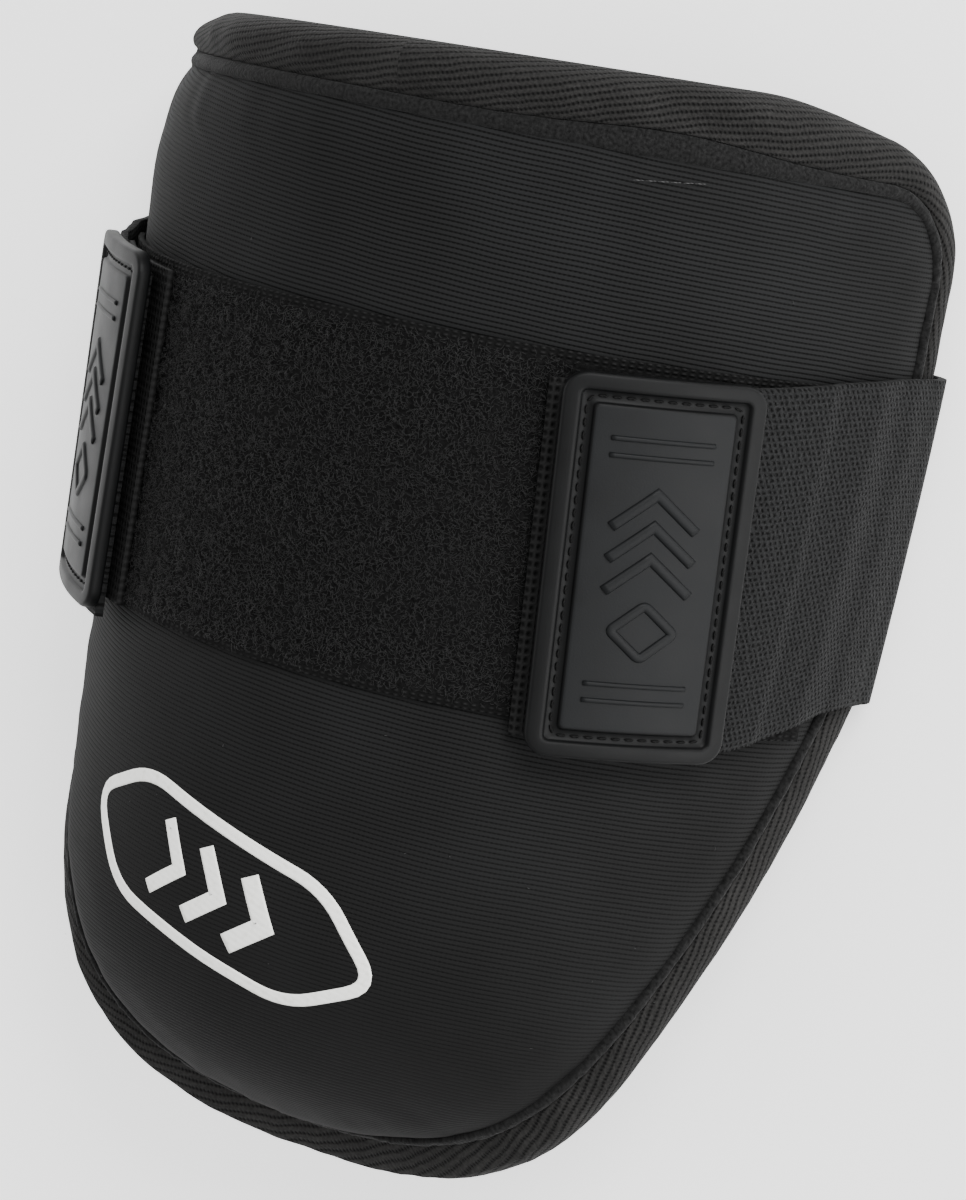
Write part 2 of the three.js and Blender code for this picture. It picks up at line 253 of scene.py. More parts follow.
def at_reach(target, reach, points):
    return np.stack([np.interp(target, reach, points[:, k]) for k in range(2)], -1)


def resample(points, count, turn_weight):
    """Steps even in length plus a share of the turning, so corners get more of them."""
    step = np.diff(points, axis=0)
    heading = np.unwrap(np.arctan2(step[:, 1], step[:, 0]))
    turn = np.concatenate([[0], np.abs(np.diff(heading))])
    reach = running(np.linalg.norm(step, axis=1) + turn_weight * turn)
    return at_reach(np.linspace(0, reach[-1], count + 1), reach, points)


def mirrored(right):
    return np.concatenate([right, right[-2:0:-1] * [-1, 1]])


def with_normals(points):
    way = np.roll(points, -1, axis=0) - np.roll(points, 1, axis=0)
    way /= np.linalg.norm(way, axis=1, keepdims=True)
    return points, np.stack([-way[:, 1], way[:, 0]], -1)


def lengths(points):
    """Distance run along a closed outline, with one more entry for the way back to its start."""
    return running(np.linalg.norm(np.roll(points, -1, axis=0) - points, axis=1))


# Smooth seeded noise on a lattice


def noise(u, v, seed):
    table = np.random.RandomState(seed).rand(256, 256) * 2 - 1
    u, v = np.broadcast_arrays(np.asarray(u, float), np.asarray(v, float))
    iu, iv = np.floor(u).astype(int), np.floor(v).astype(int)
    fu, fv = u - iu, v - iv
    fu, fv = fu * fu * (3 - 2 * fu), fv * fv * (3 - 2 * fv)
    at = lambda a, b: table[a % 256, b % 256]
    low = at(iu, iv) * (1 - fu) + at(iu + 1, iv) * fu
    high = at(iu, iv + 1) * (1 - fu) + at(iu + 1, iv + 1) * fu
    return low * (1 - fv) + high * fv


# Meshes


def add_object(name, data):
    piece = bpy.data.objects.new(name, data)
    bpy.context.scene.collection.objects.link(piece)
    return piece


def new_object(name, vertices, faces, corners, second=None):
    """second is true for each face that takes the second material."""
    mesh = bpy.data.meshes.new(name)
    mesh.from_pydata(vertices.tolist(), [], faces.tolist())
    if second is not None:
        mesh.polygons.foreach_set("material_index", np.asarray(second, int).ravel())
    layer = mesh.uv_layers.new(name="cloth")
    layer.data.foreach_set("uv", np.asarray(corners, float).ravel())
    work = bmesh.new()
    work.from_mesh(mesh)
    bmesh.ops.remove_doubles(work, verts=work.verts, dist=1e-7)
    bmesh.ops.recalc_face_normals(work, faces=work.faces)
    work.to_mesh(mesh)
    work.free()
    mesh.shade_smooth()
    mesh.update()
    return add_object(name, mesh)


def grid_faces(rows, columns, wrap_rows, wrap_columns):
    j, i = np.meshgrid(
        np.arange(rows if wrap_rows else rows - 1),
        np.arange(columns if wrap_columns else columns - 1),
        indexing="ij",
    )
    j2, i2 = (j + 1) % rows, (i + 1) % columns
    quads = np.stack([j * columns + i, j * columns + i2, j2 * columns + i2, j2 * columns + i], -1)
    return quads.reshape(-1, 4), j, i


def cell_corners(cloth, j, i):
    """Cloth coordinates of each face's four corners."""
    cells = np.stack([cloth[j, i], cloth[j, i + 1], cloth[j + 1, i + 1], cloth[j + 1, i]], 2)
    return cells.reshape(-1, 2)


def end_caps(stations, rows, cloth):
    """Faces and their corners that close both ends of a tube made of two layers of rows."""
    count = 2 * rows
    faces, corners = [], []
    for end in (0, stations - 1):
        for k in range(rows - 1):
            cells = [(end, k), (end, k + 1), (end, count - 2 - k), (end, count - 1 - k)]
            faces.append([a * count + b for a, b in cells])
            corners.append([cloth[a, b] for a, b in cells])
    return np.array(faces), np.array(corners).reshape(-1, 2)


def grid_object(name, points, cloth, wrap_rows=False, wrap_columns=False, second_from=None):
    """points is rows x columns x 3; cloth has one more row or column where that way wraps."""
    rows, columns = points.shape[:2]
    faces, j, i = grid_faces(rows, columns, wrap_rows, wrap_columns)
    second = None if second_from is None else j >= second_from
    return new_object(name, to_frame(points.reshape(-1, 3)), faces, cell_corners(cloth, j, i), second)


def sheet_object(name, outer, inner, cloth):
    """A closed sheet from two grids of points; the rim between them closes it."""
    stations, rows = outer.shape[:2]
    loops = np.concatenate([outer, inner[:, ::-1]], axis=1)
    flat = np.concatenate([cloth, cloth[:, ::-1], cloth[:, :1]], axis=1)
    faces, j, i = grid_faces(stations, 2 * rows, False, True)
    caps, cap_corners = end_caps(stations, rows, flat)
    faces = np.concatenate([faces, caps])
    corners = np.concatenate([cell_corners(flat, j, i), cap_corners])
    return new_object(name, to_frame(loops.reshape(-1, 3)), faces, corners)


def join_parts(name, parts):
    """One object from many small (vertices in millimetres, faces, cloth corners) parts."""
    vertices, faces, corners, start = [], [], [], 0
    for points, part_faces, cloth in parts:
        vertices.append(points)
        faces.append(part_faces + start)
        corners.append(cloth)
        start += len(points)
    vertices = to_frame(np.concatenate(vertices))
    return new_object(name, vertices, np.concatenate(faces), np.concatenate(corners))


# Materials


def set_inputs(node, values):
    for name, value in values.items():
        node.inputs[name].default_value = value


class Nodes:
    """Short calls for a material's node tree."""

    def __init__(self, name):
        self.material = bpy.data.materials.new(name)
        self.material.use_nodes = True
        self.tree = self.material.node_tree
        self.shader = self.tree.nodes["Principled BSDF"]

    def add(self, kind, **settings):
        node = self.tree.nodes.new(kind)
        for key, value in settings.items():
            setattr(node, key, value)
        return node

    def link(self, source, target):
        self.tree.links.new(source, target)

    def math(self, operation, a, b=None, c=None):
        node = self.add("ShaderNodeMath", operation=operation)
        for socket, value in zip(node.inputs, (a, b, c)):
            if value is None:
                continue
            if isinstance(value, (int, float)):
                socket.default_value = value
            else:
                self.link(value, socket)
        return node.outputs[0]

    def times(self, a, b):
        return self.math("MULTIPLY", a, b)

    def plus(self, a, b):
        return self.math("ADD", a, b)

    def minus(self, a, b):
        return self.math("SUBTRACT", a, b)

    def power(self, a, b):
        return self.math("POWER", a, b)

    def scaled(self, value, share, start):
        return self.math("MULTIPLY_ADD", value, share, start)

    def cloth(self):
        """The flat cloth's two coordinates, in millimetres."""
        uv = self.add("ShaderNodeUVMap", uv_map="cloth")
        split = self.add("ShaderNodeSeparateXYZ")
        self.link(uv.outputs["UV"], split.inputs[0])
        return uv.outputs["UV"], split.outputs["X"], split.outputs["Y"]

    def noise(self, vector, scale, detail):
        node = self.add("ShaderNodeTexNoise")
        set_inputs(node, {"Scale": scale, "Detail": detail})
        self.link(vector, node.inputs["Vector"])
        return node.outputs["Fac"]

    def ramp(self, value, stops):
        node = self.add("ShaderNodeValToRGB")
        points = node.color_ramp.elements
        while len(points) < len(stops):
            points.new(1.0)
        for point, (position, colour) in zip(points, stops):
            point.position = position
            point.color = (*colour, 1)
        self.link(value, node.inputs["Fac"])
        return node.outputs["Color"]

    def base_colour(self, value, stops):
        self.link(self.ramp(value, stops), self.shader.inputs["Base Color"])

    def bump(self, height, distance_mm, strength):
        node = self.add("ShaderNodeBump")
        set_inputs(node, {"Strength": strength, "Distance": distance_mm / 1000})
        self.link(height, node.inputs["Height"])
        self.link(node.outputs["Normal"], self.shader.inputs["Normal"])

    def finish(self, roughness, specular, sheen=0.0):
        set_inputs(self.shader, {
            "Roughness": roughness,
            "Specular IOR Level": specular,
            "Sheen Weight": sheen,
            "Sheen Roughness": 0.5,
        })
        return self.material


def wave(n, coordinate, pitch):
    """0 to 1 and back, once in each pitch."""
    turn = n.times(coordinate, 2 * math.pi / pitch)
    return n.scaled(n.math("SINE", turn), 0.5, 0.5)


def slanted(n, u, v, angle):
    """The coordinate across lines that run at that angle to u."""
    return n.plus(n.times(u, -math.sin(angle)), n.times(v, math.cos(angle)))


def grey(value, warmth=0.0):
    return (value * (1 + warmth), value, value * (1 - warmth))


def neoprene():
    """Broad flat ribs with thin dark lines between them, with painted shade that darkens the cover and fades
    the lines towards the tip.
    """
    n = Nodes("neoprene")
    uv, u, v = n.cloth()
    angle = math.radians(-3)
    across = slanted(n, u, v, angle)
    along_rib = slanted(n, u, v, angle + math.pi / 2)
    drift = n.times(n.noise(uv, 0.05, 1), 0.8)
    ribs = wave(n, n.plus(across, drift), RIB_PITCH)
    line = n.power(n.minus(1.0, ribs), 4.0)
    stitched = n.scaled(wave(n, along_rib, 0.85), 0.6, 0.9)
    # Painted shade: towards the tip the rib lines fade, standing in for light that grazes only the upper
    # cover
    painted_shade_to_tip = n.math("MINIMUM", n.scaled(v, 0.005, 0.3), 1.0)
    dark = n.times(line, n.times(stitched, painted_shade_to_tip))
    height = n.minus(n.scaled(n.noise(uv, 2.2, 2), 0.35, 0.8), dark)
    tone = n.plus(n.times(height, 0.5), n.times(n.noise(uv, 0.03, 2), 0.4))
    # Painted shade: the colour darkens towards the tip, where less light falls
    tone = n.plus(tone, n.scaled(painted_shade_to_tip, 0.25, -0.25))
    stops = [(0.1, grey(0.001)), (0.56, grey(0.0077)), (0.9, grey(0.0145, -0.04))]
    n.base_colour(tone, stops)
    n.bump(height, 0.14, 0.9)
    return n.finish(0.8, specular=0.09, sheen=0.01)


def lining():
    n = Nodes("lining")
    uv, u, v = n.cloth()
    knit = n.times(wave(n, u, 1.0), wave(n, v, 0.8))
    tone = n.plus(n.times(knit, 0.5), n.times(n.noise(uv, 0.06, 2), 0.5))
    n.base_colour(tone, [(0.1, grey(0.008)), (0.9, grey(0.02))])
    n.bump(knit, 0.12, 0.8)
    return n.finish(0.85, specular=0.12, sheen=0.02)


def tape():
    """Twill with rows of small dark pits."""
    n = Nodes("tape")
    uv, u, v = n.cloth()
    angle = math.radians(14)
    wander = n.times(n.noise(uv, 0.12, 2), 1.2)
    rows = n.minus(1.0, wave(n, n.plus(slanted(n, u, v, angle), wander), 1.25))
    knots = n.minus(1.0, wave(n, n.plus(u, n.times(v, 0.6)), 0.9))
    pits = n.times(n.power(rows, 2.0), n.power(knots, 1.5))
    dark = n.plus(n.times(pits, 0.6), n.times(n.power(rows, 3.0), 0.3))
    height = n.minus(n.scaled(n.noise(uv, 1.6, 4), 0.8, 0.5), dark)
    tone = n.plus(n.times(height, 0.7), n.times(n.noise(uv, 0.08, 2), 0.3))
    stops = [(0.3, grey(0.0015)), (0.68, grey(0.0105, 0.03)), (0.95, grey(0.023, 0.03))]
    n.base_colour(tone, stops)
    n.bump(height, 0.3, 1.0)
    return n.finish(0.85, specular=0.1, sheen=0.02)


def welt_fuzz():
    n = Nodes("welt_fuzz")
    uv, _, _ = n.cloth()
    height = n.noise(uv, 1.6, 4)
    n.base_colour(height, [(0.3, grey(0.002)), (0.7, grey(0.013))])
    n.bump(height, 0.3, 1.0)
    return n.finish(0.95, specular=0.1, sheen=0.05)


def pile_base():
    """Dark felt under the fibres, with a flat woven strip along both long edges."""
    n = Nodes("pile_base")
    uv, u, v = n.cloth()
    felt = n.noise(uv, 1.2, 4)
    from_middle = n.math("ABSOLUTE", n.minus(v, LOOP_ALONG))
    strip = n.math("GREATER_THAN", from_middle, WEBBING / 2 - SELVAGE)
    dashes = n.times(wave(n, u, 1.5), wave(n, from_middle, 0.85))
    height = n.plus(felt, n.times(n.minus(dashes, felt), strip))
    mix = n.add("ShaderNodeMix", data_type="RGBA")
    n.link(strip, mix.inputs["Factor"])
    n.link(n.ramp(felt, [(0.3, grey(0.0012)), (0.7, grey(0.006))]), mix.inputs["A"])
    n.link(n.ramp(height, [(0.2, grey(0.003)), (0.9, grey(0.013))]), mix.inputs["B"])
    n.link(mix.outputs["Result"], n.shader.inputs["Base Color"])
    n.bump(height, 0.4, 1.0)
    return n.finish(0.9, specular=0.1)


def elastic():
    n = Nodes("elastic")
    uv, u, v = n.cloth()
    jitter = n.times(n.noise(uv, 0.9, 3), 1.2)
    leaning = n.plus(n.scaled(v, 0.5, u), jitter)
    weft = n.minus(1.0, wave(n, leaning, 1.05))
    warp = n.minus(1.0, wave(n, n.plus(v, n.times(jitter, 0.5)), 1.0))
    pits = n.power(n.times(weft, warp), 1.3)
    ground = n.scaled(n.noise(uv, 1.3, 5), 0.9, 0.4)
    height = n.minus(ground, n.times(pits, 0.9))
    stops = [(0.1, grey(0.001)), (0.65, grey(0.006, -0.02)), (1.0, grey(0.015, -0.02))]
    n.base_colour(height, stops)
    n.bump(height, 0.45, 1.0)
    return n.finish(0.85, specular=0.1, sheen=0.02)


def hook_tape():
    n = Nodes("hook_tape")
    uv, u, v = n.cloth()
    holes = n.times(wave(n, u, 1.25), wave(n, v, 1.5))
    height = n.minus(n.scaled(n.noise(uv, 2.0, 3), 0.4, 0.7), holes)
    n.base_colour(height, [(0.1, grey(0.0008)), (0.9, grey(0.009))])
    n.bump(height, 0.4, 1.0)
    return n.finish(0.7, specular=0.12)


def rubber(name, dark, light):
    n = Nodes(name)
    uv, _, _ = n.cloth()
    cloudy = n.noise(uv, 0.12, 3)
    n.base_colour(cloudy, [(0.3, grey(dark, -0.1)), (0.7, grey(light, -0.1))])
    n.link(n.scaled(cloudy, 0.2, 0.42), n.shader.inputs["Roughness"])
    n.bump(n.noise(uv, 3.0, 3), 0.03, 0.6)
    return n.finish(0.5, specular=0.15)


def thread(name, tone):
    n = Nodes(name)
    _, u, v = n.cloth()
    twist = wave(n, slanted(n, u, v, math.radians(35)), 0.5)
    n.base_colour(twist, [(0.1, grey(tone * 0.5)), (0.9, grey(tone * 1.4))])
    n.bump(twist, 0.08, 0.8)
    return n.finish(0.7, specular=0.1)


def print_ink():
    n = Nodes("print_ink")
    uv, u, v = n.cloth()
    ribs = wave(n, slanted(n, u, v, math.radians(-3)), 1.2)
    worn = n.noise(uv, 0.8, 4)
    n.base_colour(worn, [(0.2, (0.78, 0.78, 0.73)), (0.5, (0.94, 0.94, 0.90))])
    n.bump(n.plus(ribs, n.times(worn, 0.5)), 0.05, 0.6)
    return n.finish(0.6, specular=0.3)


def finish_piece(piece, node_or_none, slot, *materials):
    for material in materials:
        piece.data.materials.append(material)
    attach(piece, "root")
    if node_or_none:
        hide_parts(node_or_none)


# The seam's outline, once for all the pieces that follow it
OUTLINE, OUTWARD = with_normals(mirrored(resample(half_seam(), OUTLINE_STEPS, 40)))
RUN = lengths(OUTLINE)
TOPNESS = np.clip(OUTWARD[:, 1], 0, None) ** 2
DOWNNESS = smooth_step(0.5, 1, -OUTWARD[:, 1])


def band_width():
    """The tape is widest along the top and narrow at the corners and upper sides."""
    around = OUTLINE[:, 0] / HALF_GIRTH
    middle = 1 - smooth_step(0.6, 1, np.abs(around))
    top = TAPE_SIDE_WIDTH + (TAPE_TOP_WIDTH - TAPE_SIDE_WIDTH) * middle + TOP_LEAN * middle * around
    upper = TAPE_SIDE_WIDTH + (top - TAPE_SIDE_WIDTH) * TOPNESS
    low = TAPE_SIDE_WIDTH + (TAPE_LOW_WIDTH - TAPE_SIDE_WIDTH) * smooth_step(0.1, 0.35, -OUTWARD[:, 1])
    lower = low + (TAPE_TIP_WIDTH - low) * DOWNNESS
    return np.where(OUTWARD[:, 1] > 0, upper, lower)


BAND = band_width()
WELT_EDGE = WELT_TOP_WIDTH / 2
# The welt is cord-like at the right top corner and a wider flat strip before it
CORDED = 1 - 0.8 * smooth_step(50, 88, OUTLINE[:, 0])
WELT_HALF = (WELT_SIDE_WIDTH + (WELT_TOP_WIDTH - WELT_SIDE_WIDTH) * TOPNESS * CORDED)[:, None] / 2
FROM_WIDEST = (OUTLINE[:, 0] - WIDE_WELT_AROUND) / WIDE_WELT_SPREAD
WELT_OUTER = WELT_HALF + WIDE_WELT_EXTRA * (TOPNESS * np.exp(-(FROM_WIDEST**2)))[:, None]


def lip_lift(inset):
    """At the tip the edge flares forward like a lip: how far, at those insets, outline points last."""
    share = np.clip((-inset - WELT_EDGE) / (BAND - RIM_RADIUS - WELT_EDGE), 0, 1)
    return TIP_LIFT * DOWNNESS * share


def plate_rings(points, outward, spine, rings):
    """Rings of (share of the way out, inset, out) as flat points and heights, for place()."""
    middle = np.stack([np.zeros(len(points)), np.clip(points[:, 1], *spine)], -1)
    flat, heights = [], []
    for share, inset, out in rings:
        inset = np.broadcast_to(inset, len(points))[:, None]
        flat.append(middle + (points - outward * inset - middle) * share)
        heights.append(np.broadcast_to(out, len(points)))
    return np.array(flat), np.array(heights, float)


def closed_cloth(flat):
    """Flat points as cloth coordinates, with the first column again at the end."""
    return np.concatenate([flat, flat[:, :1]], axis=1)


def pillow(inset):
    """How far the cover has dropped at that distance from the seam."""
    return -PILLOW_DROP * np.clip(1 - inset / PILLOW_WIDTH, 0, 1) ** 2.6


def cover_rise(around, along):
    """Gentle hollows and swells of the cover's front."""
    wide = noise(around / 34 + 7, along / 26 + 3, 5)
    return 0.30 * wide + 0.12 * noise(around / 12, along / 12, 6)


def cover():
    spine = (0.22 * SEAM_LENGTH, 0.82 * SEAM_LENGTH)
    rings = [(k / COVER_FACE_RINGS, PILLOW_WIDTH, 0.0) for k in range(COVER_FACE_RINGS + 1)]
    for inset in np.linspace(PILLOW_WIDTH, 0.6, COVER_EDGE_RINGS)[1:]:
        rings.append((1.0, inset, pillow(inset)))
    foam = RIM_RADIUS - TAPE_THICKNESS - CLEARANCE
    rings.append((1.0, -WELT_EDGE, -PILLOW_DROP))
    for angle in np.linspace(math.pi / 2, -math.pi / 2, COVER_ROLL_RINGS):
        inset = -(BAND - RIM_RADIUS + foam * math.cos(angle))
        rings.append((1.0, inset, RIM_OUT + foam * math.sin(angle) + lip_lift(inset)))
    front_rings = len(rings) - 4
    for k in range(COVER_BACK_RINGS, -1, -1):
        rings.append((k / COVER_BACK_RINGS, TAPE_FLAP, -PAD_THICKNESS))
    flat, out = plate_rings(OUTLINE, OUTWARD, spine, rings)
    u, v = flat[..., 0], flat[..., 1]
    edge = smooth_step(0.8, 1.0, np.array([ring[0] for ring in rings]))[:, None]
    pucker = 0.22 * edge * noise(RUN[None, :-1] / 4.5, 0.3, 11)
    front = np.arange(len(rings))[:, None] < front_rings
    out = out + np.where(front, cover_rise(u, v) * (1 - 0.7 * edge) + pucker, 0)
    cloth = closed_cloth(flat)
    piece = grid_object("cover", place(u, v, out), cloth, wrap_columns=True, second_from=front_rings)
    finish_piece(piece, "shell", "neoprene", neoprene(), lining())


# The tape round the edge and the welt beside it


def tape_section():
    """Insets and heights, outline x section, round the outer face and back along the inner one."""
    start = WELT_OUTER
    centre = (BAND - RIM_RADIUS)[:, None]
    rise = (ROLL_RISE * TOPNESS)[:, None]
    face = np.linspace(0, 1, TAPE_FACE_STEPS + 1)[None, :-1]
    turn = np.linspace(math.pi / 2, -math.pi / 2, TAPE_TURN_STEPS)[None]
    flap = np.linspace(0, 1, 5)[None, 1:]
    inner_turn = turn[:, ::-3]
    inner = RIM_RADIUS - TAPE_THICKNESS
    lift = rise * np.clip(np.sin(turn), 0, 1) ** 2
    inset = np.concatenate([
        -(start + (centre - start) * face),
        -(centre + RIM_RADIUS * np.cos(turn)),
        -centre + (TAPE_FLAP + centre) * flap,
        np.full_like(centre, TAPE_FLAP),
        -(centre + inner * np.cos(inner_turn)),
        -start,
    ], axis=1)
    crown = TAPE_TOP - 0.5 * TAPE_THICKNESS * (1 - face) ** 3 + rise * np.sin(face * math.pi / 2)
    ones = np.ones_like(centre)
    out = np.concatenate([
        crown,
        RIM_OUT + RIM_RADIUS * np.sin(turn) + lift,
        TAPE_BACK * ones * np.ones_like(flap),
        (TAPE_BACK + TAPE_THICKNESS) * ones,
        RIM_OUT + inner * np.sin(inner_turn) * ones,
        (TAPE_TOP - TAPE_THICKNESS) * ones,
    ], axis=1)
    return inset, out, TAPE_FACE_STEPS + TAPE_TURN_STEPS


def tape_pinch(flat):
    """How deep the soft hollows along the top press in, at flat points."""
    lean = flat[..., 0] + 2.2 * (flat[..., 1] - SEAM_LENGTH)
    from_middle = flat[..., 1] - (SEAM_LENGTH + 6)
    pinch = 0
    for around, depth, width, length in TAPE_PINCHES:
        u = (lean - around) / width
        v = from_middle / length
        pinch = pinch + depth * np.exp(-(u * u + v * v))
    return pinch


def edge_tape():
    inset, out, outer = tape_section()
    flat = OUTLINE[:, None, :] - OUTWARD[:, None, :] * inset[..., None]
    step = np.hypot(np.diff(inset, axis=1), np.diff(out, axis=1))
    across = np.concatenate([np.zeros((len(inset), 1)), np.cumsum(step, axis=1)], axis=1)
    run = RUN[:-1, None]
    top = TOPNESS[:, None]
    ripple = noise(run / 7, across / 5, 21) * (0.18 + 0.3 * top) + noise(run / 2.6, across / 3, 22) * 0.1
    ripple = ripple + 0.5 * top * noise(run / 16, 0.5, 23)
    column = np.arange(out.shape[1])[None]
    moved = np.where(column < outer, ripple - tape_pinch(flat), 0)
    fade = np.minimum(column / 3, 1)
    out = out + lip_lift(inset.T).T + moved * fade
    points = place(flat[..., 0], flat[..., 1], out)
    round_again = np.vstack([across, across[:1]])
    round_again = np.concatenate([round_again, round_again[:, :1]], axis=1)
    cloth = stacked(RUN[:, None], round_again)
    piece = grid_object("edge_tape", points, cloth, wrap_rows=True, wrap_columns=True)
    finish_piece(piece, "edge_binding", "binding_tape", tape())


def welt():
    base = CLEARANCE - PILLOW_DROP
    angle = np.linspace(0, math.pi, WELT_STEPS)[None]
    half = np.where(np.cos(angle) > 0, WELT_HALF, WELT_OUTER)
    inset = np.concatenate([half * np.cos(angle), -WELT_HALF * 0.5, WELT_HALF * 0.5], axis=1)
    foot = base * np.ones_like(WELT_HALF)
    arch = base + WELT_HEIGHT * np.sin(angle) ** 0.8 * np.ones_like(WELT_HALF)
    out = np.concatenate([arch, foot, foot], axis=1)
    run = RUN[:-1, None]
    column = np.arange(out.shape[1])[None]
    rough = noise(run / 1.3, column / 2, 31) * 0.2 + noise(run / 6, 0.5, 32) * 0.12
    out = out + np.where(column < WELT_STEPS, rough, 0)
    flat = OUTLINE[:, None, :] - OUTWARD[:, None, :] * inset[..., None]
    across = np.concatenate([inset, inset[:, :1]], axis=1)
    across = np.concatenate([across, across[:1]])
    cloth = stacked(RUN[:, None], across)
    points = place(flat[..., 0], flat[..., 1], out)
    piece = grid_object("welt", points, cloth, wrap_rows=True, wrap_columns=True)
    finish_piece(piece, "seam_welt", "welt", welt_fuzz())


# The loop panel and its pile


def loop_panel():
    around = np.linspace(-LOOP_REACH, LOOP_REACH, PANEL_COLUMNS)
    along = np.linspace(LOOP_LOW, LOOP_HIGH, PANEL_ROWS)
    u, v = np.meshgrid(around, along, indexing="ij")
    rough = 0.16 * noise(u / 0.9, v / 0.9, 41) + 0.2 * noise(u / 3, v / 3, 42) - 0.4
    top = LOOP_OUT + LOOP_THICKNESS + rough
    piece = sheet_object("loop_base", place(u, v, top), place(u, v, LOOP_OUT), np.stack([u, v], -1))
    finish_piece(piece, "loop_panel", "loop_pile", pile_base())


def fibre_lines(seed, count):
    """Middle lines of short curled fibres over the open stretch of the panel, fibres x steps."""
    draw = np.random.RandomState(seed)
    high = PATCHES["right"]["around"] - PATCH_WIDTH / 2 - 1
    low = -(PATCHES["left"]["around"] - PATCH_WIDTH / 2 - 1)
    u = draw.uniform(low - 3, high + 1, count)
    v = draw.uniform(LOOP_LOW + SELVAGE, LOOP_HIGH - SELVAGE, count)
    heading = draw.uniform(0, 2 * math.pi, count)
    length = draw.uniform(0.8, 1.9, count)
    curl = draw.uniform(-1.6, 1.6, count)
    rise = draw.uniform(0.3, 0.8, count) + 0.45 * noise(u / 2.6, v / 2.6, 43)
    t = np.linspace(0, 1, FIBRE_STEPS)[None]
    way = heading[:, None] + curl[:, None] * t
    du = np.cumsum(np.cos(way), axis=1) * length[:, None] / FIBRE_STEPS
    dv = np.cumsum(np.sin(way), axis=1) * length[:, None] / FIBRE_STEPS
    base = LOOP_OUT + LOOP_THICKNESS - 0.5
    out = base + 0.15 + rise[:, None] * np.sin(math.pi * (0.15 + 0.75 * t))
    return place(u[:, None] + du, v[:, None] + dv, out)


def fibres(name, seed, count, material):
    """One batch of fibres, each a thin tube that narrows to its end."""
    line = fibre_lines(seed, count)
    tangent = np.gradient(line, axis=1)
    tangent /= np.linalg.norm(tangent, axis=-1, keepdims=True)
    side = np.cross(tangent, [0.3, 0.2, 0.9])
    side /= np.linalg.norm(side, axis=-1, keepdims=True)
    other = np.cross(tangent, side)
    radius = 0.05 * (1 - 0.6 * np.linspace(0, 1, FIBRE_STEPS)[None] ** 2)[..., None]
    rings = []
    for k in range(FIBRE_SIDES):
        angle = 2 * math.pi * k / FIBRE_SIDES
        rings.append(line + (side * math.cos(angle) + other * math.sin(angle)) * radius)
    points = np.stack(rings, 2).reshape(-1, 3)
    faces, _, _ = grid_faces(FIBRE_STEPS, FIBRE_SIDES, False, True)
    start = (np.arange(count) * FIBRE_STEPS * FIBRE_SIDES)[:, None, None]
    walls = (faces[None] + start).reshape(-1, 4)
    ends = np.concatenate([
        np.array([0, 1, 2])[None] + start[:, 0],
        np.array([0, 2, 1])[None] + (FIBRE_STEPS - 1) * FIBRE_SIDES + start[:, 0],
    ])
    mesh = bpy.data.meshes.new(name)
    mesh.from_pydata(to_frame(points).tolist(), [], walls.tolist() + ends.tolist())
    mesh.shade_smooth()
    finish_piece(add_object(name, mesh), None, "loop_pile", material)


def fibre_finish():
    n = Nodes("pile_fibre")
    set_inputs(n.shader, {"Base Color": (*grey(0.0055), 1)})
    return n.finish(0.5, specular=0.36)


# The strap: drawn narrower where it turns back, with its low corner leaning in


def past_patch(around):
    return smooth_step(0.8 * PATCHES["right"]["around"], TURN_AROUND, around)


def strap_height(patch, around):
    """Down in steps: past the tab's end, past the panel's end and over the edge."""
    tab_end = patch["around"] + PATCH_WIDTH / 2 + TAB_BORDER
    past_tab = 0.5 * (smooth_step(*STRAP_CREASE, around) + smooth_step(tab_end + 2, LOOP_REACH, around))
    past_panel = smooth_step(LOOP_REACH + 1.5, LOOP_REACH + 1.2 * STRAP_STEP, around)
    past_seam = smooth_step(HALF_GIRTH - STRAP_STEP / 2, TURN_AROUND, around)
    over = STRAP_OUT + (TAB_OUT - STRAP_OUT) * past_tab
    over = over + (CLEARANCE - over) * past_panel
    return over + (TAPE_TOP + TURN_EASE - over) * past_seam


def rim_lowest():
    """Height of the rounded rim's middle line where it lies lowest under the strap."""
    along = STRAP_ALONG + STRAP_RISE + np.linspace(-0.5, 0.5, 21) * WEBBING
    return place(seam_around(along) + TAPE_SIDE_WIDTH - RIM_RADIUS, along, RIM_OUT)[:, 2].min()


